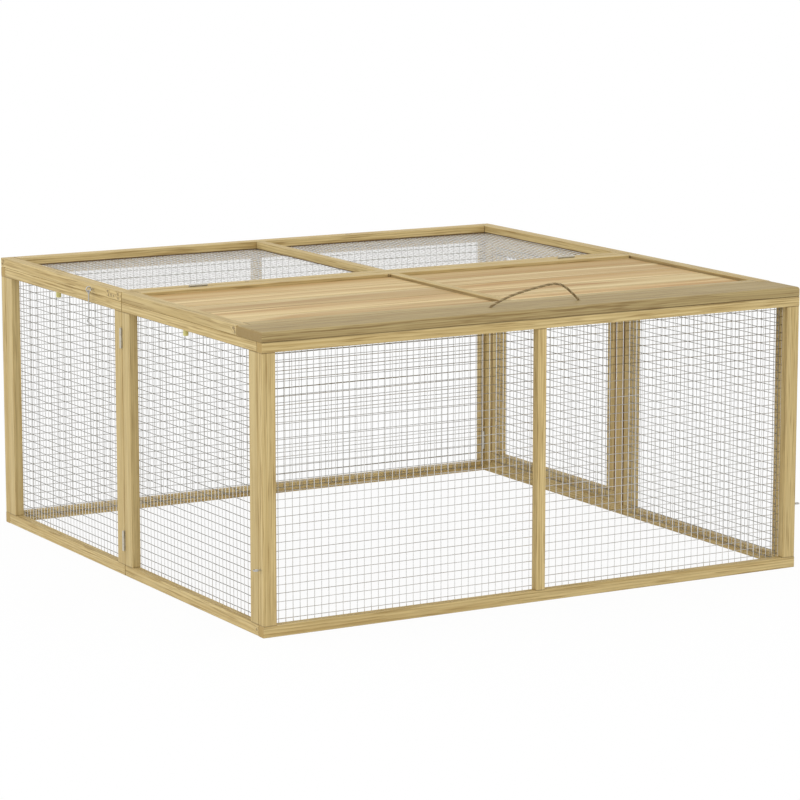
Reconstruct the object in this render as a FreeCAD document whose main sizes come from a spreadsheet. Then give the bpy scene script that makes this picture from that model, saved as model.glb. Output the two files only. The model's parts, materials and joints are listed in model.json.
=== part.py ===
import FreeCAD, Part
import Sketcher
import math
import os
import re

# Folding rabbit hutch: timber frames with wire mesh, side walls that fold inwards at their middle,
# and a roof whose front half is a boarded lid.
# Origin at the centre of the footprint on the floor, +X to the right, +Y to the back, +Z up.

doc = FreeCAD.newDocument("folding_hutch")
sheet = doc.addObject("Spreadsheet::Sheet", "Sizes")

# Driving sizes in millimetres, and counts
SIZES = {
    "hutch_width": 950,
    "hutch_depth": 943,
    "hutch_height": 450,
    "panel_thickness": 15,
    "top_rail_height": 15,
    "foot_rail_height": 17,
    "end_stile_width": 22,
    "side_stile_width": 25,
    "mullion_width": 15,
    "inner_stile_width": 25,
    "inner_rail_height": 20,
    "edge_ease": 0.8,
    "corner_gap": 1.2,
    "seam_gap": 2,
    "roof_gap": 0.3,
    "roof_thickness": 15,
    "roof_rail_width": 22,
    "back_rail_width": 25,
    "divider_width": 16,
    "roof_seam": 2,
    "front_board_width": 80,
    "front_board_round": 4,
    "board_recess": 5,
    "board_thickness": 9,
    "board_gap": 0.4,
    "boards_per_bay": 5,
    "wire_thickness": 1.2,
    "net_wire": 2,
    "net_pitch": 70,
    "net_rail_lap": 8,
    "net_side_lap": 10,
    "net_end_lap": 1.6,
    "inner_net_lap": 14,
    "peg_diameter": 8,
    "peg_drop": 10,
    "peg_clearance": 0.05,
    "rear_peg_distance": 255,
    "front_peg_distance": 210,
    "hinge_length": 32,
    "hinge_height": 56.5,
    "lid_hinge_distance": 342,
    "knuckle_radius": 2,
    "knuckle_room": 0.2,
    "pin_radius": 1,
    "pin_clearance": 0.05,
    "leaf_thickness": 0.5,
    "leaf_width": 13,
    "eye_wire_radius": 1,
    "eye_ring_radius": 4,
    "eye_neck": 4,
    "eye_screw_depth": 12,
    "roof_eye_distance": 104,
    "front_eye_height": 101,
    "hook_wire_radius": 1,
    "hook_loop_radius": 2.6,
    "rope_diameter": 4,
    "rope_inset": 48,
    "rope_left_end": 66,
    "rope_right_end": 96,
    "knot_bore_diameter": 12,
    "knot_bore_depth": 9,
    "knot_diameter": 10,
    "knot_height": 8,
}
for row, (alias, number) in enumerate(SIZES.items(), 1):
    sheet.set(f"A{row}", alias)
    sheet.set(f"B{row}", str(number))
    sheet.setAlias(f"B{row}", alias)
doc.recompute()

# Distances that several pieces share, as formulas of the sheet's cells
WALL_TOP = "(hutch_height - roof_thickness - roof_gap)"
STILE_LENGTH = f"({WALL_TOP} - top_rail_height - foot_rail_height)"
HALF_LENGTH = "(hutch_depth / 2 - panel_thickness - corner_gap - seam_gap / 2)"
ROOF_UNDERSIDE = "(hutch_height - roof_thickness)"
LID_DEPTH = "(hutch_depth / 2 - roof_seam / 2 - front_board_width)"
REAR_ROOF_DEPTH = "(hutch_depth / 2 - roof_seam / 2)"
BETWEEN_SIDE_RAILS = "(hutch_width - 2 * roof_rail_width)"
BAY_WIDTH = f"(({BETWEEN_SIDE_RAILS} - divider_width) / 2)"
BOARD_STEP = f"(({LID_DEPTH} - 2 * roof_rail_width - board_gap) / boards_per_bay)"

RIGHT = FreeCAD.Vector(1, 0, 0)
BACK = FreeCAD.Vector(0, 1, 0)
UP = FreeCAD.Vector(0, 0, 1)
WIRE_SIDES = 6
RING_STEPS = 12
ROPE_SIDES = 8
KNUCKLE_SIDES = 8
PEG_SIDES = 12
BEND_STEP = 15
# The share of a straight run that a bend takes up at each end
BEND_SHARE = 0.45
NEARLY_ALL = 0.99
HAIR = 0.001

nodes = []


def size(alias):
    return float(sheet.get(alias))


def bind(thing, name, formula):
    thing.setExpression(name, re.sub(r"\b([a-z]+_[a-z_]+)\b", r"Sizes.\1", formula))


def keep(thing, label):
    thing.Label = label
    nodes.append(thing)
    return thing


def place(thing, corner):
    for axis, formula in zip("xyz", corner):
        bind(thing, f"Placement.Base.{axis}", formula)


# Timber

def new_sketch(body, name):
    sketch = body.newObject("Sketcher::SketchObject", name)
    plane = [item for item in body.Origin.OriginFeatures if item.Role == "XY_Plane"][0]
    sketch.AttachmentSupport = (plane, [""])
    sketch.MapMode = "FlatFace"
    return sketch


def fix_point(sketch, item, spot, offset):
    for kind, axis, formula in (("DistanceX", -2, offset[0]), ("DistanceY", -1, offset[1])):
        if formula == "0":
            sketch.addConstraint(Sketcher.Constraint("PointOnObject", item, spot, axis))
        else:
            number = sketch.addConstraint(Sketcher.Constraint(kind, -1, 1, item, spot, 1.0))
            bind(sketch, f"Constraints[{number}]", formula)


def add_rectangle(sketch, width, depth, offset):
    first = sketch.GeometryCount
    corners = [FreeCAD.Vector(*spot) for spot in ((0, 0), (9, 0), (9, 9), (0, 9))]
    for side in range(4):
        sketch.addGeometry(Part.LineSegment(corners[side], corners[(side + 1) % 4]), False)
    for side in range(4):
        sketch.addConstraint(Sketcher.Constraint("Coincident", first + side, 2, first + (side + 1) % 4, 1))
        level = "Horizontal" if side % 2 == 0 else "Vertical"
        sketch.addConstraint(Sketcher.Constraint(level, first + side))
    number = sketch.addConstraint(Sketcher.Constraint("DistanceX", first, 1, first, 2, 9.0))
    bind(sketch, f"Constraints[{number}]", width)
    number = sketch.addConstraint(Sketcher.Constraint("DistanceY", first + 1, 1, first + 1, 2, 9.0))
    bind(sketch, f"Constraints[{number}]", depth)
    fix_point(sketch, first, 1, offset)


def edges_along(shape, grain):
    names = []
    for number, edge in enumerate(shape.Edges, 1):
        run = edge.Vertexes[-1].Point - edge.Vertexes[0].Point
        if abs(getattr(run, grain)) > NEARLY_ALL * edge.Length:
            names.append(f"Edge{number}")
    return names


def top_edges(shape):
    """The top edges of a board, other than the one at its back."""
    box = shape.BoundBox
    names = []
    for number, edge in enumerate(shape.Edges, 1):
        middle = edge.CenterOfMass
        if middle.z > box.ZMax - HAIR and middle.y < box.YMax - HAIR:
            names.append(f"Edge{number}")
    return names


def on_round(shape, name):
    """Whether an edge bounds a curved face."""
    edge = shape.getElement(name)
    beside = shape.ancestorsOfType(edge, Part.Face)
    return any(not isinstance(face.Surface, Part.Plane) for face in beside)


def dress(body, base, kind, amount, edges, formula):
    """Round or ease some edges of a body's last feature."""
    feature = body.newObject(f"PartDesign::{kind}", f"{body.Label}_{kind.lower()}")
    feature.Base = (base, edges)
    bind(feature, amount, formula)
    body.Tip = feature
    doc.recompute()
    return feature


def timber(label, grain, box, corner, offsets=(("0", "0"),), top_round=None):
    """One piece of timber, or a few alike, with the edges along its grain eased.

    Where a rounding is given, the top edges at the front and at both ends are rounded instead.
    """
    body = keep(doc.addObject("PartDesign::Body", label), label)
    sketch = new_sketch(body, f"{label}_outline")
    for offset in offsets:
        add_rectangle(sketch, box[0], box[1], offset)
    pad = body.newObject("PartDesign::Pad", f"{label}_pad")
    pad.Profile = sketch
    bind(pad, "Length", box[2])
    place(body, corner)
    doc.recompute()
    edges = edges_along(pad.Shape, grain)
    finished = pad
    if top_round:
        finished = dress(body, pad, "Fillet", "Radius", top_edges(pad.Shape), top_round)
        edges = [name for name in edges_along(finished.Shape, grain) if not on_round(finished.Shape, name)]
    dress(body, finished, "Chamfer", "Size", edges, "edge_ease")
    return body


def drill(body, name, diameter, spots, depth=None):
    """Round holes from the underside: blind where a depth is given, otherwise through."""
    solid_before = body.Shape.Volume
    sketch = new_sketch(body, f"{name}_circles")
    for item, spot in enumerate(spots):
        sketch.addGeometry(Part.Circle(FreeCAD.Vector(item, 0), FreeCAD.Vector(0, 0, 1), 1), False)
        number = sketch.addConstraint(Sketcher.Constraint("Diameter", item, 2.0))
        bind(sketch, f"Constraints[{number}]", diameter)
        fix_point(sketch, item, 3, spot)
    hole = body.newObject("PartDesign::Pocket", name)
    hole.Profile = sketch
    hole.Reversed = True
    if depth is None:
        hole.Type = "ThroughAll"
    else:
        bind(hole, "Length", depth)
    body.Tip = hole
    doc.recompute()
    if body.Shape.Volume >= solid_before:
        raise RuntimeError(f"{name} cuts nothing")


# Wire mesh, with wider gaps than the real one

def net(label, width, height, placement):
    """A flat net: one face with a grid of square gaps, as thick as its wire."""
    wire = size("net_wire")
    columns = max(1, round(width / size("net_pitch")))
    rows = max(1, round(height / size("net_pitch")))
    gap_width = (width - wire) / columns - wire
    gap_height = (height - wire) / rows - wire
    outlines = [Part.makePolygon(rectangle_points(0, 0, width, height))]
    for column in range(columns):
        for row in range(rows):
            left = wire + column * (gap_width + wire)
            low = wire + row * (gap_height + wire)
            outlines.append(Part.makePolygon(rectangle_points(left, low, gap_width, gap_height)))
    face = Part.makeFace(outlines, "Part::FaceMakerBullseye")
    sheet_of_wire = keep(doc.addObject("Part::Feature", label), label)
    sheet_of_wire.Shape = face.extrude(FreeCAD.Vector(0, 0, size("wire_thickness")))
    sheet_of_wire.Placement = placement


def rectangle_points(left, low, width, height):
    right = left + width
    high = low + height
    corners = ((left, low), (right, low), (right, high), (left, high), (left, low))
    return [FreeCAD.Vector(x, y, 0) for x, y in corners]


FACING_FRONT = FreeCAD.Rotation(FreeCAD.Vector(1, 0, 0), 90)
FACING_RIGHT = FreeCAD.Rotation(FreeCAD.Vector(1, 1, 1), 120)


# Wall panels

def end_panel(name, outer_face, inner_net):
    """The front or the back panel, as wide as the hutch; the mesh lies on its inner face."""
    across = ("hutch_width", "panel_thickness")
    left = "-hutch_width / 2"
    top = f"{WALL_TOP} - top_rail_height"
    timber(f"{name}_top_rail", "x", (*across, "top_rail_height"), (left, outer_face, top))
    timber(f"{name}_bottom_rail", "x", (*across, "foot_rail_height"), (left, outer_face, "0"))
    timber(f"{name}_stiles", "z", ("end_stile_width", "panel_thickness", STILE_LENGTH),
           (left, outer_face, "foot_rail_height"),
           (("0", "0"), ("hutch_width - end_stile_width", "0")))
    timber(f"{name}_mullion", "z", ("mullion_width", "panel_thickness", STILE_LENGTH),
           ("-mullion_width / 2", outer_face, "foot_rail_height"))
    start = size("end_stile_width") - size("net_end_lap")
    low, height = net_span(size("net_rail_lap"))
    base = FreeCAD.Vector(start - size("hutch_width") / 2, inner_net, low)
    net(f"{name}_mesh", size("hutch_width") - 2 * start, height, FreeCAD.Placement(base, FACING_FRONT))


def net_span(lap, inner_rail=0):
    """A wall net's bottom edge and height: it laps over the rails, or over the rails of an inner frame."""
    low = size("foot_rail_height") + inner_rail - lap
    high = wall_top - size("top_rail_height") - inner_rail + lap
    return low, high - low


def inner_frame(name, outer, near, peg_y):
    """A second frame that fills a wall panel's opening, with a hole for the end of the panel's peg."""
    length = f"({HALF_LENGTH} - 2 * side_stile_width)"
    start = f"{near} + side_stile_width"
    rail = ("panel_thickness", length, "inner_rail_height")
    top = timber(f"{name}_inner_top_rail", "y", rail,
                 (outer, start, f"{WALL_TOP} - top_rail_height - inner_rail_height"))
    timber(f"{name}_inner_bottom_rail", "y", rail, (outer, start, "foot_rail_height"))
    timber(f"{name}_inner_stiles", "z",
           ("panel_thickness", "inner_stile_width", f"{STILE_LENGTH} - 2 * inner_rail_height"),
           (outer, start, "foot_rail_height + inner_rail_height"),
           (("0", "0"), ("0", f"{length} - inner_stile_width")))
    spot = ("panel_thickness / 2", f"{peg_y} - ({start})")
    drill(top, f"{name}_inner_peg_hole", "peg_diameter + 2 * peg_clearance", [spot])


def side_panel(side, half, has_inner_frame):
    """One half of a side wall; its peg goes up through the top rail."""
    name = f"{side}_{half}"
    outer = "-hutch_width / 2" if side == "left" else "hutch_width / 2 - panel_thickness"
    near = "seam_gap / 2" if half == "rear" else f"-seam_gap / 2 - {HALF_LENGTH}"
    along = ("panel_thickness", HALF_LENGTH)
    top = timber(f"{name}_top_rail", "y", (*along, "top_rail_height"),
                 (outer, near, f"{WALL_TOP} - top_rail_height"))
    timber(f"{name}_bottom_rail", "y", (*along, "foot_rail_height"), (outer, near, "0"))
    timber(f"{name}_stiles", "z", ("panel_thickness", "side_stile_width", STILE_LENGTH),
           (outer, near, "foot_rail_height"),
           (("0", "0"), ("0", f"{HALF_LENGTH} - side_stile_width")))
    peg_y = "rear_peg_distance" if half == "rear" else "-front_peg_distance"
    spot = ("panel_thickness / 2", f"{peg_y} - ({near})")
    drill(top, f"{name}_peg_hole", "peg_diameter + 2 * peg_clearance", [spot])
    peg = keep(doc.addObject("Part::Prism", f"{name}_peg"), f"{name}_peg")
    peg.Polygon = PEG_SIDES
    bind(peg, "Circumradius", "peg_diameter / 2")
    bind(peg, "Height", "top_rail_height + peg_drop")
    place(peg, (f"{outer} + panel_thickness / 2", peg_y, f"{WALL_TOP} - top_rail_height - peg_drop"))
    start = size("side_stile_width") - size("net_side_lap")
    low, height = net_span(size("net_rail_lap"))
    if has_inner_frame:
        inner_frame(name, outer, near, peg_y)
        start += size("inner_stile_width")
        low, height = net_span(size("inner_net_lap"), size("inner_rail_height"))
    first_y = size("seam_gap") / 2 if half == "rear" else -size("seam_gap") / 2 - half_length
    inner = size("hutch_width") / 2 - size("panel_thickness")
    inner_x = -inner if side == "left" else inner - size("wire_thickness")
    base = FreeCAD.Vector(inner_x, first_y + start, low)
    net(f"{name}_mesh", half_length - 2 * start, height, FreeCAD.Placement(base, FACING_RIGHT))


# Roof

def rear_roof():
    """The back half of the roof: a frame with a divider, over mesh that lies between the rails."""
    left = "-hutch_width / 2"
    inner_left = f"{left} + roof_rail_width"
    seam = "roof_seam / 2"
    timber("roof_side_rails", "y", ("roof_rail_width", REAR_ROOF_DEPTH, "roof_thickness"),
           (left, seam, ROOF_UNDERSIDE), (("0", "0"), ("hutch_width - roof_rail_width", "0")))
    timber("roof_front_rail", "x", (BETWEEN_SIDE_RAILS, "roof_rail_width", "roof_thickness"),
           (inner_left, seam, ROOF_UNDERSIDE))
    timber("roof_back_rail", "x", (BETWEEN_SIDE_RAILS, "back_rail_width", "roof_thickness"),
           (inner_left, "hutch_depth / 2 - back_rail_width", ROOF_UNDERSIDE))
    timber("roof_divider", "y", ("divider_width", f"{REAR_ROOF_DEPTH} - roof_rail_width - back_rail_width",
                                 "roof_thickness - edge_ease - wire_thickness"),
           ("-divider_width / 2", f"{seam} + roof_rail_width",
            f"{ROOF_UNDERSIDE} + edge_ease + wire_thickness"))
    rails = size("roof_rail_width") + size("back_rail_width")
    depth = size("hutch_depth") / 2 - size("roof_seam") / 2 - rails
    base = FreeCAD.Vector(size("roof_rail_width") - size("hutch_width") / 2,
                          size("roof_seam") / 2 + size("roof_rail_width"),
                          size("hutch_height") - size("roof_thickness") + size("edge_ease"))
    net("roof_mesh", size("hutch_width") - 2 * size("roof_rail_width"), depth,
        FreeCAD.Placement(base, FreeCAD.Rotation()))


# A knot's outline: share of its height, share of its half width
KNOT_PROFILE = ((0, 0.55), (0.25, 0.95), (0.7, 1.0), (1, 0.6))


def lid():
    """The front half of the roof: a frame, boards let in below its top, and a wide board at the front."""
    left = "-hutch_width / 2"
    inner_left = f"{left} + roof_rail_width"
    board_back = "-hutch_depth / 2 + front_board_width"
    timber("lid_side_rails", "y", ("roof_rail_width", LID_DEPTH, "roof_thickness"),
           (left, board_back, ROOF_UNDERSIDE), (("0", "0"), ("hutch_width - roof_rail_width", "0")))
    timber("lid_back_rail", "x", (BETWEEN_SIDE_RAILS, "roof_rail_width", "roof_thickness"),
           (inner_left, "-roof_seam / 2 - roof_rail_width", ROOF_UNDERSIDE))
    timber("lid_front_rail", "x", (BETWEEN_SIDE_RAILS, "roof_rail_width", "roof_thickness"),
           (inner_left, board_back, ROOF_UNDERSIDE))
    timber("lid_divider", "y", ("divider_width", f"{LID_DEPTH} - 2 * roof_rail_width", "roof_thickness"),
           ("-divider_width / 2", f"{board_back} + roof_rail_width", ROOF_UNDERSIDE))
    later_boards = range(1, int(size("boards_per_bay")))
    offsets = [("0", "0"), *[("0", f"{number} * {BOARD_STEP}") for number in later_boards]]
    for bay, start in (("left", inner_left), ("right", "divider_width / 2")):
        timber(f"lid_{bay}_boards", "x", (BAY_WIDTH, f"{BOARD_STEP} - board_gap", "board_thickness"),
               (start, f"{board_back} + roof_rail_width + board_gap",
                "hutch_height - board_recess - board_thickness"), offsets)
    front = timber("lid_front_board", "x", ("hutch_width", "front_board_width", "roof_thickness"),
                   (left, "-hutch_depth / 2", ROOF_UNDERSIDE), top_round="front_board_round")
    spots = [("hutch_width / 2 - rope_left_end", "rope_inset"),
             ("hutch_width / 2 + rope_right_end", "rope_inset")]
    drill(front, "rope_holes", "rope_diameter", spots)
    drill(front, "knot_bores", "knot_bore_diameter", spots, "knot_bore_depth")
    shoulder = size("knot_diameter") / 2
    level = size("hutch_height") - size("roof_thickness") + size("knot_bore_depth") - size("knot_height")
    knots = []
    for x in (-size("rope_left_end"), size("rope_right_end")):
        foot = FreeCAD.Vector(x, size("rope_inset") - size("hutch_depth") / 2, level)
        outlines = []
        for rise, share in KNOT_PROFILE:
            centre = foot + UP * size("knot_height") * rise
            outlines.append(many_sided(ROPE_SIDES, shoulder * share, centre, RIGHT, BACK))
        knots.append(skin(outlines))
    tied = keep(doc.addObject("Part::Feature", "rope_knots"), "rope_knots")
    tied.Shape = Part.makeCompound(knots)


# Bent wire and rope: straight runs joined by arcs as large as the runs allow

def rounded_path(points):
    spots = [FreeCAD.Vector(*point) for point in points]
    edges = []
    radii = []
    start = spots[0]
    for before, here, after in zip(spots, spots[1:], spots[2:]):
        back = (before - here).normalize()
        ahead = (after - here).normalize()
        reach = BEND_SHARE * min((before - here).Length, (after - here).Length)
        half_turn = (math.pi - back.getAngle(ahead)) / 2
        radius = reach / math.tan(half_turn)
        inward = (back + ahead).normalize()
        middle = here + inward * (radius / math.cos(half_turn) - radius)
        edges.append(Part.LineSegment(start, here + back * reach).toShape())
        edges.append(Part.Arc(here + back * reach, middle, here + ahead * reach).toShape())
        radii.append(round(radius, 1))
        start = here + ahead * reach
    edges.append(Part.LineSegment(start, spots[-1]).toShape())
    return Part.Wire(edges), radii


def many_sided(sides, radius, centre, across, upward):
    """The corners of a regular outline round a point: the section of wire, rope, rings and knuckles."""
    corners = []
    for number in range(sides):
        angle = 2 * math.pi * number / sides
        corners.append(centre + (across * math.cos(angle) + upward * math.sin(angle)) * radius)
    return corners


def flat_face(corners):
    return Part.Face(Part.makePolygon([*corners, corners[0]]))


def skin(sections, closed=False):
    """A solid with flat sides between each section and the next, and flat ends unless it closes on itself."""
    faces = [] if closed else [flat_face(sections[0]), flat_face(sections[-1])]
    following = [*sections[1:], sections[0]] if closed else sections[1:]
    for here, ahead in zip(sections, following):
        for number in range(len(here)):
            after = (number + 1) % len(here)
            faces.append(flat_face([here[number], here[after], ahead[after], ahead[number]]))
    solid = Part.Solid(Part.makeShell(faces))
    if solid.Volume < 0:
        solid.reverse()
    return solid


def bent_bar(points, sides, radius, name):
    """Rope or wire along a path in an upright plane, with sections along each bend."""
    path, radii = rounded_path(points)
    spots = [FreeCAD.Vector(*point) for point in points]
    flat_way = (spots[1] - spots[0]).cross(spots[2] - spots[1]).normalize()
    sections = []
    for edge in path.Edges:
        turn = edge.Length / edge.Curve.Radius if isinstance(edge.Curve, Part.Circle) else 0
        steps = max(1, round(math.degrees(turn) / BEND_STEP))
        for number in range(steps):
            spot = edge.FirstParameter + (edge.LastParameter - edge.FirstParameter) * number / steps
            normal = edge.tangentAt(spot).cross(flat_way)
            sections.append(many_sided(sides, radius, edge.valueAt(spot), flat_way, normal))
    final = path.Edges[-1]
    normal = final.tangentAt(final.LastParameter).cross(flat_way)
    sections.append(many_sided(sides, radius, final.valueAt(final.LastParameter), flat_way, normal))
    bar = skin(sections)
    print(name, "bend radii", radii, "length", round(path.Length, 1), "volume", round(bar.Volume, 1),
          "section times length", round(flat_face(sections[0]).Area * path.Length, 1))
    return bar


def ring(radius, wire_radius, centre, axis, start):
    """A ring of wire round an axis."""
    sections = []
    for number in range(RING_STEPS):
        out = FreeCAD.Rotation(axis, 360 * number / RING_STEPS).multVec(start)
        sections.append(many_sided(WIRE_SIDES, wire_radius, centre + out * radius, axis, out))
    return skin(sections, closed=True)


# The rope's middle line above the front board: distance to the right, height over the roof's top
ROPE_ARCH = ((-52, 6.6), (-30, 14.6), (-6, 20.4), (20, 25), (44, 28.6), (60, 27.6), (71, 21.6), (83, 11.6))


def rope():
    top = size("hutch_height")
    y = size("rope_inset") - size("hutch_depth") / 2
    bottom = top - size("roof_thickness") + size("knot_bore_depth") - size("knot_height") / 2
    left = -size("rope_left_end")
    right = size("rope_right_end")
    arch = [(x, y, top + rise) for x, rise in ROPE_ARCH]
    points = [(left, y, bottom), (left, y, top), *arch, (right, y, top), (right, y, bottom)]
    handle = keep(doc.addObject("Part::Feature", "rope_handle"), "rope_handle")
    handle.Shape = bent_bar(points, ROPE_SIDES, size("rope_diameter") / 2, "rope handle")


# Hooks and screw eyes

def screw_eye(sign, y, z, axis):
    """A screw eye in the left or right edge: a ring on a neck, with its screw in the wood."""
    edge = size("hutch_width") / 2
    radius = size("eye_ring_radius")
    wire = size("eye_wire_radius")
    centre = FreeCAD.Vector(sign * (edge + size("eye_neck") + radius), y, z)
    neck = centre - RIGHT * sign * radius
    section = flat_face(many_sided(WIRE_SIDES, wire, neck, BACK, UP))
    screw = section.extrude(RIGHT * -sign * (size("eye_neck") + size("eye_screw_depth")))
    return ring(radius, wire, centre, axis, RIGHT * -sign).fuse(screw)


def screw_eyes(label, y, z, axis):
    eyes = keep(doc.addObject("Part::Feature", label), label)
    eyes.Shape = Part.makeCompound([screw_eye(sign, y, z, axis) for sign in (-1, 1)])


# The hook's wire below its loop, as it hangs: distance to the back, drop under the loop's centre
HOOK_BEND = ((0, 38), (8, 46.5), (-10, 51))


def hook(side):
    """A hook that hangs from the roof's eye: a loop round the eye's lowest point, a shank and a bent tip."""
    sign = -1 if side == "left" else 1
    x = sign * (size("hutch_width") / 2 + size("eye_neck") + size("eye_ring_radius"))
    y = size("roof_eye_distance")
    z = size("hutch_height") - size("roof_thickness") / 2 - size("eye_ring_radius")
    centre = FreeCAD.Vector(x, y, z)
    loop_radius = size("hook_loop_radius")
    loop = ring(loop_radius, size("hook_wire_radius"), centre, RIGHT, UP * -1)
    points = [(x, y, z - loop_radius), *[(x, y + back, z - drop) for back, drop in HOOK_BEND]]
    wire = bent_bar(points, WIRE_SIDES, size("hook_wire_radius"), f"{side} hook")
    bent = keep(doc.addObject("Part::Feature", f"{side}_hook"), f"{side}_hook")
    bent.Shape = loop.fuse(wire)


# Hinges

def leaf_shape(direction, low, high, outer):
    """A leaf on an upright axis at the origin: a plate along X, rolled round the pin at its knuckles.

    The pin is fast in the outer knuckles, and the middle knuckle of the other leaf turns on it.
    """
    length = size("hinge_length")
    third = length / 3
    room = size("knuckle_room")
    radius = size("knuckle_radius")
    clear = radius + room
    leaf = span_box(direction * clear, direction * (clear + size("leaf_width")), low, high, 0, length)
    spans = ((0, third - room), (2 * third + room, length)) if outer else ((third, 2 * third),)
    for start, end in spans:
        outline = flat_face(many_sided(KNUCKLE_SIDES, radius, UP * start, RIGHT, BACK))
        barrel = outline.extrude(UP * (end - start))
        tongue = span_box(0, direction * clear, low, high, start, end)
        leaf = leaf.fuse(barrel).fuse(tongue)
    if outer:
        leaf = leaf.fuse(Part.makeCylinder(size("pin_radius"), length))
    else:
        leaf = leaf.cut(Part.makeCylinder(size("pin_radius") + size("pin_clearance"), length))
    return leaf.removeSplitter()


def span_box(x_one, x_two, y_one, y_two, z_one, z_two):
    corner = FreeCAD.Vector(min(x_one, x_two), min(y_one, y_two), z_one)
    return Part.makeBox(abs(x_two - x_one), abs(y_two - y_one), z_two - z_one, corner)


def hinge_places():
    """Each hinge line: its axis, the way its leaves point, and the gap between the two wood faces."""
    stand_off = size("knuckle_radius") + size("knuckle_room")
    corner_x = size("hutch_width") / 2 - size("panel_thickness") - stand_off
    corner_y = size("hutch_depth") / 2 - size("panel_thickness") - stand_off
    seam_x = size("hutch_width") / 2 + stand_off
    end_face = stand_off - size("corner_gap")
    half_seam = size("seam_gap") / 2
    return {
        "back_left": (-corner_x, corner_y, -1, stand_off, end_face),
        "back_right": (corner_x, corner_y, 1, stand_off, end_face),
        "front_left": (-corner_x, -corner_y, -1, -stand_off, -end_face),
        "front_right": (corner_x, -corner_y, 1, -stand_off, -end_face),
        "left_seam": (-seam_x, 0, 1, half_seam, -half_seam),
        "right_seam": (seam_x, 0, -1, half_seam, -half_seam),
    }


def wall_leaf(line, outer):
    """The two leaves of one panel on one hinge line, on the first wood face if they hold the pin."""
    x, y, direction, first_face, second_face = hinge_places()[line]
    face = first_face if outer else second_face
    inward = 1 if second_face < first_face else -1
    into_gap = -inward if outer else inward
    shape = leaf_shape(direction, face, face + into_gap * size("leaf_thickness"), outer)
    return [shape.translated(FreeCAD.Vector(x, y, z)) for z in hinge_bottoms()]


def hinge_bottoms():
    half = size("hinge_length") / 2
    return size("hinge_height") - half, wall_top - size("hinge_height") - half


def wall_leaves(label, *lines):
    leaves = keep(doc.addObject("Part::Feature", label), label)
    leaves.Shape = Part.makeCompound([leaf for line, outer in lines for leaf in wall_leaf(line, outer)])


def roof_hinges():
    """Two hinges in the roof seam, with their knuckles above the roof's top."""
    axis_z = size("hutch_height") + size("knuckle_radius") + size("knuckle_room")
    lying = FreeCAD.Rotation(FreeCAD.Vector(0, 1, 0), 90)
    starts = [side * size("lid_hinge_distance") - size("hinge_length") / 2 for side in (-1, 1)]
    places = [FreeCAD.Placement(FreeCAD.Vector(x, 0, axis_z), lying) for x in starts]
    half_seam = size("roof_seam") / 2
    inner = half_seam - size("leaf_thickness")
    pieces = {
        "roof_hinge_leaves": leaf_shape(1, inner, half_seam, True),
        "lid_hinge_leaves": leaf_shape(1, -half_seam, -inner, False),
    }
    for label, piece in pieces.items():
        node = keep(doc.addObject("Part::Feature", label), label)
        node.Shape = Part.makeCompound([piece.transformed(spot.toMatrix()) for spot in places])


# The whole hutch

wall_top = size("hutch_height") - size("roof_thickness") - size("roof_gap")
half_length = size("hutch_depth") / 2 - size("panel_thickness") - size("corner_gap") - size("seam_gap") / 2
inner_face = size("hutch_depth") / 2 - size("panel_thickness")

end_panel("back", "hutch_depth / 2 - panel_thickness", inner_face)
end_panel("front", "-hutch_depth / 2", size("wire_thickness") - inner_face)
for wall_side in ("left", "right"):
    for wall_half in ("rear", "front"):
        side_panel(wall_side, wall_half, has_inner_frame=(wall_side, wall_half) == ("right", "rear"))
rear_roof()
lid()
rope()

roof_middle = size("hutch_height") - size("roof_thickness") / 2
front_middle = (size("panel_thickness") - size("hutch_depth")) / 2
screw_eyes("roof_screw_eyes", size("roof_eye_distance"), roof_middle, BACK)
screw_eyes("front_screw_eyes", front_middle, size("front_eye_height"), UP)
hook("left")
hook("right")

wall_leaves("back_hinge_leaves", ("back_left", True), ("back_right", True))
wall_leaves("front_hinge_leaves", ("front_left", True), ("front_right", True))
for wall_side in ("left", "right"):
    seam_line = f"{wall_side}_seam"
    wall_leaves(f"{wall_side}_rear_hinge_leaves", (f"back_{wall_side}", False), (seam_line, True))
    wall_leaves(f"{wall_side}_front_hinge_leaves", (f"front_{wall_side}", False), (seam_line, False))
roof_hinges()

doc.recompute()
for thing in doc.Objects:
    if "Invalid" in thing.State or "Error" in thing.State:
        raise RuntimeError(f"{thing.Label} failed: {thing.State}")
os.makedirs("parts", exist_ok=True)
for node in nodes:
    if node.Shape.isNull() or not node.Shape.isValid():
        raise RuntimeError(f"{node.Label} has no valid shape")
    node.Shape.exportStep(f"parts/{node.Label}.step")
print(len(nodes), "nodes written")
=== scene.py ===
import bpy
import json
import math
import random
from mathutils import Matrix, Quaternion, Vector


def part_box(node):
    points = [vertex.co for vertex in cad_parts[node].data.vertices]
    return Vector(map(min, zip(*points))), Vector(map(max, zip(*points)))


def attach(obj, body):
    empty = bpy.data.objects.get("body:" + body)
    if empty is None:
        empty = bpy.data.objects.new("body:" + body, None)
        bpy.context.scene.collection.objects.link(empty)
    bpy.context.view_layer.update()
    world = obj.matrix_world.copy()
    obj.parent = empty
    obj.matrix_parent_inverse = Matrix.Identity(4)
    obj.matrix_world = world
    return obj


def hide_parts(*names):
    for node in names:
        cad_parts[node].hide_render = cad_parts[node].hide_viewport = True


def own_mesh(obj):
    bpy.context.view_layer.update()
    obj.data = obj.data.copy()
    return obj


# Folding rabbit hutch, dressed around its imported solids; all lengths in metres

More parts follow.
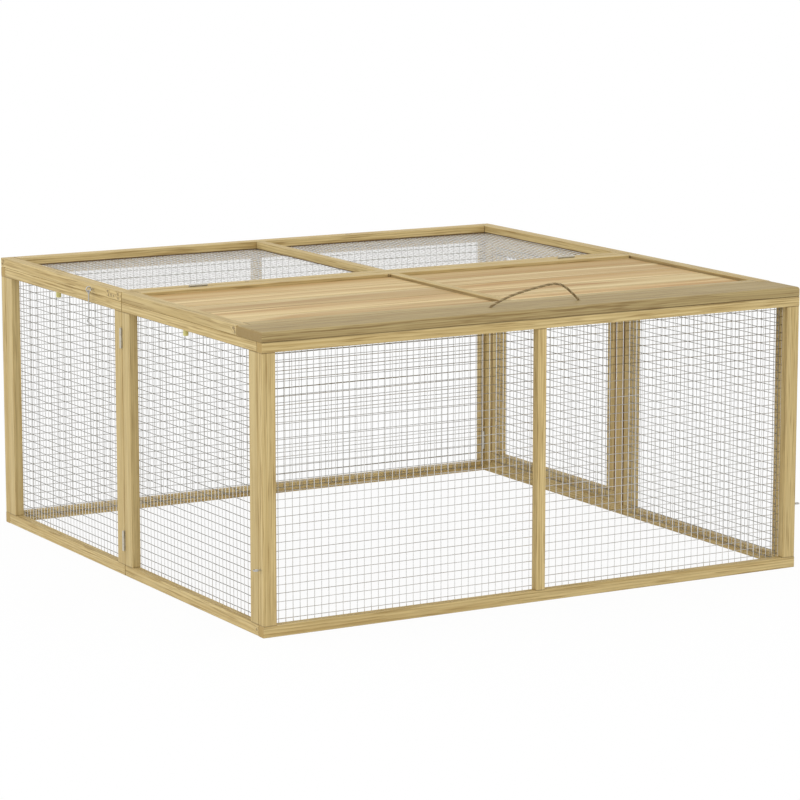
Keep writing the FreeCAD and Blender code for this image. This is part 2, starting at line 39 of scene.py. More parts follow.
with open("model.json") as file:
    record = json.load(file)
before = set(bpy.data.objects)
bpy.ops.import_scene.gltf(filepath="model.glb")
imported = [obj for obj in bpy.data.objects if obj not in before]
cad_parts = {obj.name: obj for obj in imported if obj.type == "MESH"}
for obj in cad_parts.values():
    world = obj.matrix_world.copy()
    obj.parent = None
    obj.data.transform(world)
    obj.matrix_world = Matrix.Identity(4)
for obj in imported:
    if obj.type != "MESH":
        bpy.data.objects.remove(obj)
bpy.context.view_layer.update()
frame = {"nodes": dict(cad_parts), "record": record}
nodes = frame["nodes"]
body_of_node = {}
for body_name, members in frame["record"]["behaviour"]["bodies"].items():
    for member in members:
        body_of_node[member] = body_name

MM = 0.001
ROOF_TOP = 450 * MM
AXES = {"x": Vector((1, 0, 0)), "y": Vector((0, 1, 0)), "z": Vector((0, 0, 1))}


# Mesh making

def new_piece(name, shapes, material, node, smooth_angle=40):
    """One piece from several lists of corners and faces; it takes the place and the body of a CAD node."""
    corners = []
    faces = []
    for shape_corners, shape_faces in shapes:
        first = len(corners)
        corners.extend(shape_corners)
        faces.extend([tuple(first + number for number in face) for face in shape_faces])
    mesh = bpy.data.meshes.new(name)
    mesh.from_pydata([tuple(corner) for corner in corners], [], faces)
    mesh.validate()
    mesh.shade_smooth()
    mesh.set_sharp_from_angle(angle=math.radians(smooth_angle))
    mesh.materials.append(material)
    piece = bpy.data.objects.new(name, mesh)
    bpy.context.scene.collection.objects.link(piece)
    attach(piece, body_of_node[node])
    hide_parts(node)
    return piece


def smooth_line(points, resolution):
    """Points along the NURBS spline that has the given control points."""
    curve = bpy.data.curves.new("route", "CURVE")
    curve.dimensions = "3D"
    curve.resolution_u = resolution
    spline = curve.splines.new("NURBS")
    spline.points.add(len(points) - 1)
    for control, point in zip(spline.points, points):
        control.co = (*point, 1)
    spline.order_u = 3
    spline.use_endpoint_u = True
    holder = bpy.data.objects.new("route", curve)
    bpy.context.scene.collection.objects.link(holder)
    bpy.context.view_layer.update()
    line = bpy.data.meshes.new_from_object(holder)
    found = [vertex.co.copy() for vertex in line.vertices]
    bpy.data.objects.remove(holder)
    bpy.data.curves.remove(curve)
    bpy.data.meshes.remove(line)
    return found


def travelling_frames(points, closed=False):
    """At each point the line's direction and two ways across it, which turn as little as they can."""
    count = len(points)
    frames = []
    across = None
    for number in range(count):
        before = points[number - 1] if number or closed else points[0]
        after = points[(number + 1) % count] if number < count - 1 or closed else points[-1]
        ahead = (after - before).normalized()
        if across is None:
            across = ahead.orthogonal().normalized()
        across = (across - ahead * across.dot(ahead)).normalized()
        frames.append((ahead, across, ahead.cross(across)))
    return frames


END_REACH = 0.5
END_SIZE = 0.6


def tube(points, radius, sides, closed=False, rounded_ends=False):
    """A round bar along points; rounded ends reach on and taper by shares of its radius."""
    radii = [radius] * len(points)
    if rounded_ends:
        first = points[0] - (points[1] - points[0]).normalized() * radius * END_REACH
        last = points[-1] + (points[-1] - points[-2]).normalized() * radius * END_REACH
        points = [first, *points, last]
        radii = [radius * END_SIZE, *radii, radius * END_SIZE]
    corners = []
    for point, size, (ahead, across, upward) in zip(points, radii, travelling_frames(points, closed)):
        for side in range(sides):
            angle = 2 * math.pi * side / sides
            corners.append(point + (across * math.cos(angle) + upward * math.sin(angle)) * size)
    return corners, ring_faces(len(points), sides, closed)


def ring_faces(rings, sides, closed=False):
    """Faces between rings of corners, with a face over each open end."""
    faces = []
    for ring in range(rings if closed else rings - 1):
        following = (ring + 1) % rings
        for side in range(sides):
            beside = (side + 1) % sides
            faces.append((ring * sides + side, ring * sides + beside,
                          following * sides + beside, following * sides + side))
    if not closed:
        faces.append(tuple(reversed(range(sides))))
        faces.append(tuple((rings - 1) * sides + side for side in range(sides)))
    return faces


def lathe(profile, sides, place):
    """A turned shape about Z from radius and height pairs, then put in its place."""
    corners = []
    for radius, height in profile:
        for side in range(sides):
            angle = 2 * math.pi * side / sides
            corners.append(place @ Vector((radius * math.cos(angle), radius * math.sin(angle), height)))
    return corners, ring_faces(len(profile), sides)


PLATE_EASE = 0.15


def plate(low, high, place):
    """A flat plate with its long edges eased, from two opposite corners."""
    ease = PLATE_EASE * min(abs(high[axis] - low[axis]) for axis in range(3))
    outline = [(low[0] + ease, low[1]), (high[0] - ease, low[1]), (high[0], low[1] + ease),
               (high[0], high[1] - ease), (high[0] - ease, high[1]), (low[0] + ease, high[1]),
               (low[0], high[1] - ease), (low[0], low[1] + ease)]
    corners = [place @ Vector((x, y, height)) for height in (low[2], high[2]) for x, y in outline]
    return corners, ring_faces(2, len(outline))


# Material making

def linear(red, green, blue):
    """A colour from its 0 to 255 screen values."""
    parts = []
    for value in (red, green, blue):
        share = value / 255
        parts.append(share / 12.92 if share <= 0.04045 else ((share + 0.055) / 1.055) ** 2.4)
    return (*parts, 1.0)


class Shader:
    """A material's nodes, with short ways to add the ones used here."""

    def __init__(self, name):
        self.material = bpy.data.materials.new(name)
        self.material.use_nodes = True
        self.tree = self.material.node_tree
        self.surface = self.tree.nodes["Principled BSDF"]

    def feed(self, socket, value):
        if isinstance(value, bpy.types.NodeSocket):
            self.tree.links.new(value, socket)
        else:
            socket.default_value = value

    def place(self):
        return self.tree.nodes.new("ShaderNodeTexCoord").outputs["Object"]

    def normal(self):
        return self.tree.nodes.new("ShaderNodeTexCoord").outputs["Normal"]

    def math(self, operation, first, second=0.0):
        node = self.tree.nodes.new("ShaderNodeMath")
        node.operation = operation
        for socket, value in zip(node.inputs, (first, second)):
            self.feed(socket, value)
        return node.outputs[0]

    def vector(self, operation, first, second=(0, 0, 0)):
        node = self.tree.nodes.new("ShaderNodeVectorMath")
        node.operation = operation
        self.feed(node.inputs[0], first)
        self.feed(node.inputs["Scale" if operation == "SCALE" else 1], second)
        return node.outputs["Value" if operation in ("LENGTH", "DOT_PRODUCT") else "Vector"]

    def parts(self, vector):
        node = self.tree.nodes.new("ShaderNodeSeparateXYZ")
        self.feed(node.inputs[0], vector)
        return node.outputs

    def join(self, x, y, z):
        node = self.tree.nodes.new("ShaderNodeCombineXYZ")
        for socket, value in zip(node.inputs, (x, y, z)):
            self.feed(socket, value)
        return node.outputs[0]

    def noise(self, place, scale, detail, output="Fac"):
        node = self.tree.nodes.new("ShaderNodeTexNoise")
        self.feed(node.inputs["Vector"], place)
        node.inputs["Scale"].default_value = scale
        node.inputs["Detail"].default_value = detail
        return node.outputs[output]

    def white_noise(self, place, output="Value"):
        node = self.tree.nodes.new("ShaderNodeTexWhiteNoise")
        self.feed(node.inputs["Vector"], place)
        return node.outputs[output]

    def ramp(self, factor, stops):
        node = self.tree.nodes.new("ShaderNodeValToRGB")
        self.feed(node.inputs[0], factor)
        ramp = node.color_ramp
        while len(ramp.elements) < len(stops):
            ramp.elements.new(0.5)
        for element, (position, value) in zip(ramp.elements, stops):
            element.position = position
            element.color = (value, value, value, 1)
        return node.outputs[0]

    def mix(self, factor, first, second, blend="MIX"):
        node = self.tree.nodes.new("ShaderNodeMix")
        node.data_type = "RGBA"
        node.blend_type = blend
        self.feed(node.inputs[0], factor)
        self.feed(node.inputs[6], first)
        self.feed(node.inputs[7], second)
        return node.outputs[2]

    def spread(self, value, low, high):
        node = self.tree.nodes.new("ShaderNodeMapRange")
        self.feed(node.inputs["Value"], value)
        node.inputs["To Min"].default_value = low
        node.inputs["To Max"].default_value = high
        return node.outputs[0]

    def bump(self, height, strength, distance):
        node = self.tree.nodes.new("ShaderNodeBump")
        node.inputs["Strength"].default_value = strength
        node.inputs["Distance"].default_value = distance
        self.feed(node.inputs["Height"], height)
        self.feed(self.surface.inputs["Normal"], node.outputs[0])

    def finish(self, colour, roughness, metallic=0.0):
        self.feed(self.surface.inputs["Base Color"], colour)
        self.feed(self.surface.inputs["Roughness"], roughness)
        self.surface.inputs["Metallic"].default_value = metallic
        return self.material


# Each timber: colours of its early and late wood and of its streaks; its rings' spacing, how far they wander
# and how dark they are; how fast its streaks and lines change along the grain; how many broad bands it has in
# a metre; and the strength of its bands, streaks, fine lines and sharp veins
FRAME_TIMBER = {
    "early": linear(212, 190, 134), "late": linear(146, 117, 60), "streak": linear(172, 143, 82),
    "ring_gap": 2.9 * MM, "wander": 15 * MM, "contrast": 0.85, "pace": 0.027, "band_count": 34,
    "bands": 0.2, "streaks": 0.45, "lines": 0.75, "veins": 0.25,
}
CALM_TIMBER = {**FRAME_TIMBER, "contrast": 0.66, "streaks": 0.3, "lines": 0.45}
LID_TIMBER = {
    "early": linear(227, 207, 153), "late": linear(164, 118, 54), "streak": linear(178, 141, 78),
    "ring_gap": 44 * MM, "wander": 110 * MM, "contrast": 1.0, "pace": 0.009, "band_count": 17,
    "bands": 0.95, "streaks": 0.55, "lines": 0.4, "veins": 0.85,
}
FRONT_TIMBER = {
    "early": linear(177, 157, 106), "late": linear(126, 101, 54), "streak": linear(147, 122, 70),
    "ring_gap": 3.2 * MM, "wander": 16 * MM, "contrast": 0.85, "pace": 0.027, "band_count": 34,
    "bands": 0.25, "streaks": 0.55, "lines": 0.8, "veins": 0.35,
}
PEG_TIMBER = {
    "early": linear(212, 205, 132), "late": linear(184, 174, 100), "streak": linear(198, 190, 114),
    "ring_gap": 1.6 * MM, "wander": 8 * MM, "contrast": 0.6, "pace": 0.027, "band_count": 34,
    "bands": 0.1, "streaks": 0.5, "lines": 0.4, "veins": 0.0,
}
# Browns for knots and joints, and for painted shade at seams, beside a gap, above a net or boards and between
# stiles
KNOT_AND_SHADE_BROWN = linear(80, 55, 28)
SIDE_SHADE_BROWN = linear(112, 79, 32)

# Noises of the grain: features in a metre across it, how fast they change along it, and their detail
BLOTCHES = (16.0, 0.15, 2.0)
FIBRES = (1000.0, 0.02, 3.0)
VEINS = (85.0, 0.012, 2.0)
STREAK_SCALE = 190.0
STREAK_DETAIL = 3.0
LINE_SCALE = 450.0
LINE_DETAIL = 2.0
BAND_PACE = 0.03
BAND_DETAIL = 2.0
WOBBLE_DETAIL = 2.0
NOISE_ROOM = 20

# Where each noise begins to show as a mark, and where it shows fully
BAND_RAMP = [(0.46, 0.0), (0.68, 1.0)]
STREAK_FROM = 0.42
STREAK_FULL = 0.68
LINE_FROM = 0.54
LINE_FULL = 0.66
VEIN_FROM = 0.57
VEIN_FULL = 0.66
VEIN_END = 0.67

# Rings: from pale early to dark late wood over each ring, and the noise that bends them
RING_RAMP = [(0.0, 0.05), (0.4, 0.18), (0.8, 0.85), (0.93, 1.0), (1.0, 0.05)]
RING_PACE = 0.12
RING_WAVE = 2.2 * MM
WANDER_SCALE = 9.0
WAVE_SCALE = 70.0
CONTRAST_RANGE = 0.75

# Knots: how deep they go, their shape and reach, mostly as multiples of a knot's radius, and their darkness
# from the middle outwards
KNOT_DEPTH = 12 * MM
KNOT_STRETCH = 0.7
KNOT_RAGGED = 3.4
KNOT_RAGGED_SCALE = 420.0
KNOT_FAR = 9.0
KNOT_SPAN = 2.0
KNOT_RAMP = [(0.0, 0.3), (0.26, 0.45), (0.42, 1.0), (0.62, 0.0)]
KNOT_DARKNESS = 0.95
PUSH_REACH = 4.5
PUSH_RINGS = 1.5

# Dark lines at seams, joints and edges, those at seams and edges being painted shade: how far they reach, and
# how they fade
SEAM_REACH = 1.6 * MM
SEAM_RAMP = [(0.25, 0.6), (1.0, 0.0)]
JOINT_REACH = 1.5 * MM
JOINT_FADE = 0.4
SIDE_REACH = 3.4 * MM
SIDE_FADE = 0.45
SIDE_SHADE_STRENGTH = 0.75
SHADE_MARGIN = 0.3 * MM
SHADE_FADE = 0.5

# Boards of one bay: how far apart they lie in the noise and from the heart, and how much their tones differ
BOARD_JUMP = (7, 7, 7)
BOARD_HEARTS = (0, 0.15, 0.05)
BOARD_TONE = 0.13

# Finish of all timber: shades of fibres and blotches, the look of end grain, relief and roughness
FIBRE_SHADE = (0.8, 1.18)
BLOTCH_SHADE = (-0.06, 0.06)
END_FACING = 0.7
END_STRENGTH = 0.85
RING_RELIEF = 0.6
WOOD_BUMP = 0.3
WOOD_RELIEF = 0.3 * MM
WOOD_ROUGHNESS = (0.5, 0.72)


def cross_mask(along):
    """One in the two directions across the grain, nothing along it."""
    return Vector((1, 1, 1)) - along


def drawn_out(shader, place, along, pace):
    """A place that changes more slowly along the grain than across it."""
    return shader.vector("MULTIPLY", place, tuple(cross_mask(along) + along * pace))


def grain_noise(shader, place, along, scale, pace, detail):
    return shader.noise(drawn_out(shader, place, along, pace), scale, detail)


def wobble(shader, place, scale):
    """Noise to both sides of zero in three directions."""
    return shader.vector("SUBTRACT", shader.noise(place, scale, WOBBLE_DETAIL, "Color"), (0.5, 0.5, 0.5))


def growth_rings(shader, place, moved, heart, along, timber):
    """Distance from the heart line of the log, uneven as real rings are."""
    mask = cross_mask(along)
    slow = drawn_out(shader, moved, along, RING_PACE)
    wander = shader.vector("MULTIPLY", wobble(shader, slow, WANDER_SCALE), tuple(mask * timber["wander"]))
    waves = shader.vector("MULTIPLY", wobble(shader, slow, WAVE_SCALE), tuple(mask * RING_WAVE))
    section = shader.vector("MULTIPLY", shader.vector("SUBTRACT", place, tuple(heart)), tuple(mask))
    return shader.vector("LENGTH", shader.vector("ADD", shader.vector("ADD", section, wander), waves))


def knot_marks(shader, place, knots, along, ring_gap):
    """Darkness of the knots, and how far each pushes the rings aside."""
    darkness = 0.0
    push = 0.0
    for x, y, z, size, facing in knots:
        mask = cross_mask(along) + along * KNOT_STRETCH
        mask["xyz".index(facing)] = 0
        apart = shader.vector("SUBTRACT", place, (x * MM, y * MM, z * MM))
        ragged = shader.vector("SCALE", wobble(shader, place, KNOT_RAGGED_SCALE), KNOT_RAGGED * size * MM)
        ragged = shader.vector("ADD", apart, ragged)
        distance = shader.vector("LENGTH", shader.vector("MULTIPLY", ragged, tuple(mask)))
        deep = shader.math("ABSOLUTE", shader.vector("DOT_PRODUCT", apart, tuple(AXES[facing])))
        outside = shader.math("MULTIPLY", shader.math("GREATER_THAN", deep, KNOT_DEPTH), KNOT_FAR)
        share = shader.math("ADD", shader.math("DIVIDE", distance, size * MM), outside)
        mark = shader.ramp(shader.math("DIVIDE", share, KNOT_SPAN), KNOT_RAMP)
        darkness = shader.math("MAXIMUM", darkness, mark)
        near = shader.math("SUBTRACT", 1.0, shader.math("DIVIDE", share, PUSH_REACH))
        near = shader.math("MAXIMUM", near, 0.0)
        near = shader.math("MULTIPLY", near, near)
        push = shader.math("ADD", push, shader.math("MULTIPLY", near, PUSH_RINGS * ring_gap))
    return darkness, push


def joint_lines(shader, place, direction, first, last, strength):
    """Dark lines near the two ends of a timber, where it meets others, measured in one direction."""
    way = shader.vector("DOT_PRODUCT", place, tuple(direction))
    to_end = shader.math("MINIMUM", shader.math("SUBTRACT", way, first), shader.math("SUBTRACT", last, way))
    return shader.ramp(shader.math("DIVIDE", to_end, JOINT_REACH), [(JOINT_FADE, strength), (1.0, 0.0)])


def side_seam_shade(shader, place, spots):
    """Painted shade: dark lines at some places along Y, where upright timbers lie side by side."""
    way = shader.parts(place)["Y"]
    darkness = 0.0
    for spot in spots:
        apart = shader.math("ABSOLUTE", shader.math("SUBTRACT", way, spot))
        line = shader.ramp(shader.math("DIVIDE", apart, SIDE_REACH), [(SIDE_FADE, SIDE_SHADE_STRENGTH), (1.0, 0.0)])
        darkness = shader.math("MAXIMUM", darkness, line)
    return darkness


def edge_stain(shader, place, low, high, reach, strength):
    """Painted shade: a dark line where a net or boards, given by their box, meet the faces round them."""
    x, y, z = shader.parts(place)
    beside = shader.math("LESS_THAN", shader.math("ABSOLUTE", x), high.x + SHADE_MARGIN)
    before = shader.math("GREATER_THAN", y, low.y - SHADE_MARGIN)
    behind = shader.math("LESS_THAN", y, high.y + SHADE_MARGIN)
    inside = shader.math("MULTIPLY", beside, shader.math("MULTIPLY", before, behind))
    above = shader.math("DIVIDE", shader.math("SUBTRACT", z, high.z), reach)
    return shader.math("MULTIPLY", inside, shader.ramp(above, [(SHADE_FADE, strength), (1.0, 0.0)]))


def board_changes(shader, place, moved, seed, first_edge, step):
    """For boards side by side: each one's place in the noise and in the log, its tone, and the painted shade
    at their seams.
    """
    parts = shader.parts(place)
    way = shader.math("DIVIDE", shader.math("SUBTRACT", parts["Y"], first_edge), step)
    board = shader.join(shader.math("FLOOR", way), shader.math("SIGN", parts["X"]), seed)
    jump = shader.white_noise(board, "Color")
    moved = shader.vector("ADD", moved, shader.vector("MULTIPLY", jump, BOARD_JUMP))
    rings_place = shader.vector("ADD", place, shader.vector("MULTIPLY", jump, BOARD_HEARTS))
    to_edge = shader.math("FRACT", way)
    to_edge = shader.math("MINIMUM", to_edge, shader.math("SUBTRACT", 1.0, to_edge))
    seam_shade = shader.ramp(shader.math("MULTIPLY", to_edge, step / SEAM_REACH), SEAM_RAMP)
    return moved, rings_place, shader.white_noise(board), seam_shade


def grain_colour(shader, moved, along, timber, rings, blotches, streaks):
    """Early and late wood in rings, with bands, streaks, fine lines and veins over them."""
    depth = shader.spread(blotches, timber["contrast"] - CONTRAST_RANGE, timber["contrast"])
    colour = shader.mix(shader.math("MULTIPLY", rings, depth), timber["early"], timber["late"])
    bands = grain_noise(shader, moved, along, timber["band_count"], BAND_PACE, BAND_DETAIL)
    bands = shader.math("MULTIPLY", shader.ramp(bands, BAND_RAMP), timber["bands"])
    colour = shader.mix(bands, colour, timber["streak"])
    streaks = shader.ramp(streaks, [(STREAK_FROM, 0.0), (STREAK_FULL, timber["streaks"])])
    colour = shader.mix(streaks, colour, timber["streak"])
    lines = grain_noise(shader, moved, along, LINE_SCALE, timber["pace"], LINE_DETAIL)
    lines = shader.ramp(lines, [(LINE_FROM, 0.0), (LINE_FULL, timber["lines"])])
    colour = shader.mix(lines, colour, timber["late"])
    veins = grain_noise(shader, moved, along, *VEINS)
    veins = shader.ramp(veins, [(VEIN_FROM, 0.0), (VEIN_FULL, timber["veins"]), (VEIN_END, 0.0)])
    return shader.mix(veins, colour, timber["late"])


def wood(name, grain, seed, timber, heart, tone=0.0, knots=(), boards=None, sides=None, gap=None, stain=None,
         joints=None):
    """Planed softwood: growth rings, streaks, fibres, knots and darker end grain, all along the grain.

    Painted shade darkens boards at their seams, stiles where they lie side by side, faces beside a gap and
    rails just above a net or boards; timbers darken where they meet others.
    """
    shader = Shader(name)
    drawn = random.Random(seed)
    along = AXES[grain]
    place = shader.place()
    moved = shader.vector("ADD", place, tuple(drawn.uniform(-NOISE_ROOM, NOISE_ROOM) for axis in range(3)))
    rings_place = place
    board_tone = 0.5
    if boards:
        moved, rings_place, board_tone, seam_shade = board_changes(shader, place, moved, seed, *boards)
    radius = growth_rings(shader, rings_place, moved, heart, along, timber)
    if knots:
        darkness, push = knot_marks(shader, place, knots, along, timber["ring_gap"])
        radius = shader.math("ADD", radius, push)
    rings = shader.ramp(shader.math("FRACT", shader.math("DIVIDE", radius, timber["ring_gap"])), RING_RAMP)
    blotches = grain_noise(shader, moved, along, *BLOTCHES)
    streaks = grain_noise(shader, moved, along, STREAK_SCALE, timber["pace"], STREAK_DETAIL)
    fibres = grain_noise(shader, moved, along, *FIBRES)
    colour = grain_colour(shader, moved, along, timber, rings, blotches, streaks)
    shade = shader.math("ADD", shader.spread(fibres, *FIBRE_SHADE), shader.spread(blotches, *BLOTCH_SHADE))
    # The timber's tone; on some timbers it also holds painted light
    shade = shader.math("ADD", shade, shader.spread(board_tone, tone - BOARD_TONE, tone + BOARD_TONE))
    colour = shader.mix(1.0, colour, shader.join(shade, shade, shade), "MULTIPLY")
    ends = shader.math("ABSOLUTE", shader.vector("DOT_PRODUCT", shader.normal(), tuple(along)))
    ends = shader.math("GREATER_THAN", ends, END_FACING)
    marks = []
    if knots:
        marks.append((shader.math("MULTIPLY", darkness, KNOT_DARKNESS), KNOT_AND_SHADE_BROWN))
    # Painted shade at the boards' seams
    if boards:
        marks.append((seam_shade, KNOT_AND_SHADE_BROWN))
    # Painted shade where stiles lie side by side
    if sides:
        marks.append((side_seam_shade(shader, place, sides), SIDE_SHADE_BROWN))
    # Painted shadow beside a gap
    if gap:
        marks.append((joint_lines(shader, place, AXES["z"], *gap), KNOT_AND_SHADE_BROWN))
    # Painted shade just above a net or boards
    if stain:
        marks.append((edge_stain(shader, place, *stain), KNOT_AND_SHADE_BROWN))
    if joints:
        on_sides = shader.math("SUBTRACT", 1.0, ends)
        lines = joint_lines(shader, place, along, *joints)
        marks.append((shader.math("MULTIPLY", lines, on_sides), KNOT_AND_SHADE_BROWN))
    marks.append((shader.math("MULTIPLY", ends, END_STRENGTH), timber["streak"]))
    for strength, mark_colour in marks:
        colour = shader.mix(strength, colour, mark_colour)
    relief = shader.math("ADD", fibres, shader.math("MULTIPLY", rings, RING_RELIEF))
    shader.bump(relief, WOOD_BUMP, WOOD_RELIEF)
    return shader.finish(colour, shader.spread(streaks, *WOOD_ROUGHNESS))


# Zinc: its clouds and its finer specks, the spread of its roughness, its relief, and the share of the hutch's
# height over which a painted brown reflection comes in
CLOUD_DETAIL = 4.0
SPECK_DETAIL = 2.0
SPECK_FINENESS = 9
SPECK_STRENGTH = 0.35
SMOOTHER = 0.08
ROUGHER = 0.1
ZINC_BUMP = 0.15
ZINC_RELIEF = 0.1 * MM
REFLECTION_RAMP = [(0.66, 0.0), (0.78, 1.0)]


def metal(name, light, dark, roughness, metallic, grain_scale, painted_reflection=None):
    """Zinc on wire or sheet: fine cloudy spangle, a little unevenness, and a painted brown reflection that
    grows with height.
    """
    shader = Shader(name)
    place = shader.place()
    clouds = shader.noise(place, grain_scale, CLOUD_DETAIL)
    specks = shader.noise(place, grain_scale * SPECK_FINENESS, SPECK_DETAIL)
    colour = shader.mix(shader.spread(clouds, 0.0, 1.0), dark, light)
    colour = shader.mix(shader.spread(specks, 0.0, SPECK_STRENGTH), colour, dark)
    # Painted brown reflection, stronger towards the top of the hutch
    if painted_reflection:
        height = shader.math("DIVIDE", shader.parts(place)["Z"], ROOF_TOP)
        colour = shader.mix(shader.ramp(height, REFLECTION_RAMP), colour, painted_reflection)
    shader.bump(specks, ZINC_BUMP, ZINC_RELIEF)
    return shader.finish(colour, shader.spread(clouds, roughness - SMOOTHER, roughness + ROUGHER), metallic)


# Yarn: its fibres run more along the rope than across it and lie in darker clumps
FIBRE_STRETCH = (0.35, 1.0, 1.0)
YARN_FIBRE_SCALE = 2600.0
YARN_FIBRE_DETAIL = 3.0
YARN_CLUMP_SCALE = 420.0
YARN_CLUMP_DETAIL = 2.0
YARN_FIBRES = (-0.2, 1.1)
YARN_CLUMPS = (-0.3, 0.5)
YARN_BUMP = 0.6
YARN_RELIEF = 0.35 * MM
YARN_ROUGHNESS = 0.85


def rope_yarn(name, dark, light):
    """Twisted cord with paler fibres."""
    shader = Shader(name)
    place = shader.place()
    stretched = shader.vector("MULTIPLY", place, FIBRE_STRETCH)
    fibres = shader.noise(stretched, YARN_FIBRE_SCALE, YARN_FIBRE_DETAIL)
    clumps = shader.noise(place, YARN_CLUMP_SCALE, YARN_CLUMP_DETAIL)
    colour = shader.mix(shader.spread(fibres, *YARN_FIBRES), dark, light)
    colour = shader.mix(shader.spread(clumps, *YARN_CLUMPS), colour, dark)
    shader.bump(fibres, YARN_BUMP, YARN_RELIEF)
    return shader.finish(colour, YARN_ROUGHNESS)


# Timber: every wooden solid keeps its shape and gets its own grain

def middle_of(node):
    low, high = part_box(node)
    return (low + high) / 2


def grain_of(node):
    low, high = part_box(node)
    if node.endswith("_stiles") or node.endswith("_mullion"):
        return "z"
    if node in ("roof_side_rails", "lid_side_rails"):
        return "y"
    spans = high - low
    return "xyz"[max(range(3), key=lambda axis: spans[axis])]


# Knots on some timbers, in millimetres: place, radius, and the way the marked face looks
KNOTS = {
    "roof_side_rails": ((-475, 50, 446, 1.9, "x"), (-475, 47, 440, 1.7, "x"), (-475, 38, 441, 1.7, "x"),
                        (-475, 29, 441, 1.5, "x"), (-475, 13, 446, 1.8, "x"), (-475, 12, 439, 1.7, "x"),
                        (-475, 462, 446, 2.0, "x"), (-475, 465, 440, 1.7, "x"), (475, 430, 443, 3.2, "x")),
    "lid_side_rails": ((-475, -383, 445, 2.0, "x"), (-475, -387, 440, 1.7, "x"), (475, -60, 442, 3.0, "x"),
                       (453, -26, 447, 1.8, "x")),
    "lid_back_rail": ((-11, -23, 447, 1.8, "y"),),
    "left_front_bottom_rail": ((-475, -449, 9, 1.7, "x"),),
    "right_rear_bottom_rail": ((475, 120, 9, 3.0, "x"),),
    "right_front_stiles": ((475, -440, 250, 3.2, "x"),),
    "back_bottom_rail": ((-210, 471.5, 8, 3.0, "y"), (330, 471.5, 10, 2.2, "y")),
    "back_stiles": ((-466, 471.5, 300, 3.2, "y"),),
    "roof_back_rail": ((180, 459, 450, 3.2, "z"),),
    "roof_front_rail": ((-250, 12, 450, 2.6, "z"),),
}

# Some timbers are a little lighter or darker than the rest: partly their own tone, and partly painted light,
# as the timbers inside the back and right walls are lightened where the inside of the hutch gets less light
TONES_AND_LIGHT = {
    "back_bottom_rail": 0.13, "back_top_rail": 0.08, "front_mullion": 0.05,
    "left_front_stiles": -0.07, "left_rear_stiles": -0.05,
    "lid_front_rail": -0.2, "lid_side_rails": -0.06, "roof_back_rail": 0.05,
    "right_front_stiles": 0.06, "right_rear_inner_stiles": 0.1, "right_rear_stiles": 0.1,
}
CALM_STILES = ("left_rear_stiles", "left_front_stiles")
TIMBER_ENDINGS = ("_rail", "_rails", "_stiles", "_mullion", "_divider", "_boards", "_board")

# The boards of a bay: the first one's edge, and the step from one to the next
BOARDS_IN_BAY = 5
BOARD_EDGE = 0.4 * MM
boards_low, boards_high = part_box("lid_left_boards")
BOARDS = (boards_low.y - BOARD_EDGE / 2, (boards_high.y - boards_low.y + BOARD_EDGE) / BOARDS_IN_BAY)

# Timbers whose ends meet others in the same face, with dark joints
JOINT_ENDINGS = ("_stiles", "_mullion", "_divider", "_boards")
JOINT_RAILS = ("roof_back_rail", "roof_front_rail", "lid_back_rail", "lid_front_rail")
UPRIGHT_JOINT = 0.5
LEVEL_JOINT = 0.8

# Rails that a net or boards are let into, painted with shade just above them: the box of these, the shade's
# reach and its strength
MESH_RAILS = ("roof_side_rails", "roof_front_rail", "roof_back_rail", "roof_divider")
MESH_EDGE_SHADE = (*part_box("roof_mesh"), 2.4 * MM, 0.9)
BOARD_RAILS = ("lid_side_rails", "lid_back_rail", "lid_front_rail", "lid_divider")
BOARD_EDGE_SHADE = (boards_low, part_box("lid_right_boards")[1], 5 * MM, 0.4)

# The gap under the front board is painted as shadow on the board's foot and on the top of the rail below: two
# heights, of which only one is near the timber, and the strength
OUT_OF_REACH = 1
BOARD_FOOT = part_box("lid_front_board")[0].z
RAIL_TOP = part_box("front_top_rail")[1].z
GAP_SHADOW_TIMBERS = {
    "lid_front_board": (BOARD_FOOT, BOARD_FOOT + OUT_OF_REACH, 0.3),
    "front_top_rail": (RAIL_TOP - OUT_OF_REACH, RAIL_TOP, 0.35),
}

# Stiles side by side in the right wall, and the places of their seams, where shade is painted
SIDE_STILES = ("right_rear_stiles", "right_rear_inner_stiles", "right_front_stiles")
inner_low, inner_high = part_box("right_rear_inner_stiles")
SIDE_SEAMS = (0.0, inner_low.y, inner_high.y)


def timber_of(node):
    if node in CALM_STILES:
        return CALM_TIMBER
    if node.endswith("_boards"):
        return LID_TIMBER
    if node == "lid_front_board":
        return FRONT_TIMBER
    return FRAME_TIMBER


def marks_of(node, grain):
    """What a timber has beside its grain: tone with some painted light, knots, boards, joints, and painted
    shade at seams, beside a gap and above a net or boards.
    """
    marks = {"tone": TONES_AND_LIGHT.get(node, 0.0), "knots": KNOTS.get(node, ()), "gap": GAP_SHADOW_TIMBERS.get(node)}
    if node.endswith("_boards"):
        marks["boards"] = BOARDS
    if node.endswith(JOINT_ENDINGS) or node in JOINT_RAILS:
        low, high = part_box(node)
        axis = "xyz".index(grain)
        marks["joints"] = (low[axis], high[axis], UPRIGHT_JOINT if grain == "z" else LEVEL_JOINT)
    if node in SIDE_STILES:
        marks["sides"] = SIDE_SEAMS
    if node in MESH_RAILS:
        marks["stain"] = MESH_EDGE_SHADE
    if node in BOARD_RAILS:
        marks["stain"] = BOARD_EDGE_SHADE
    return marks


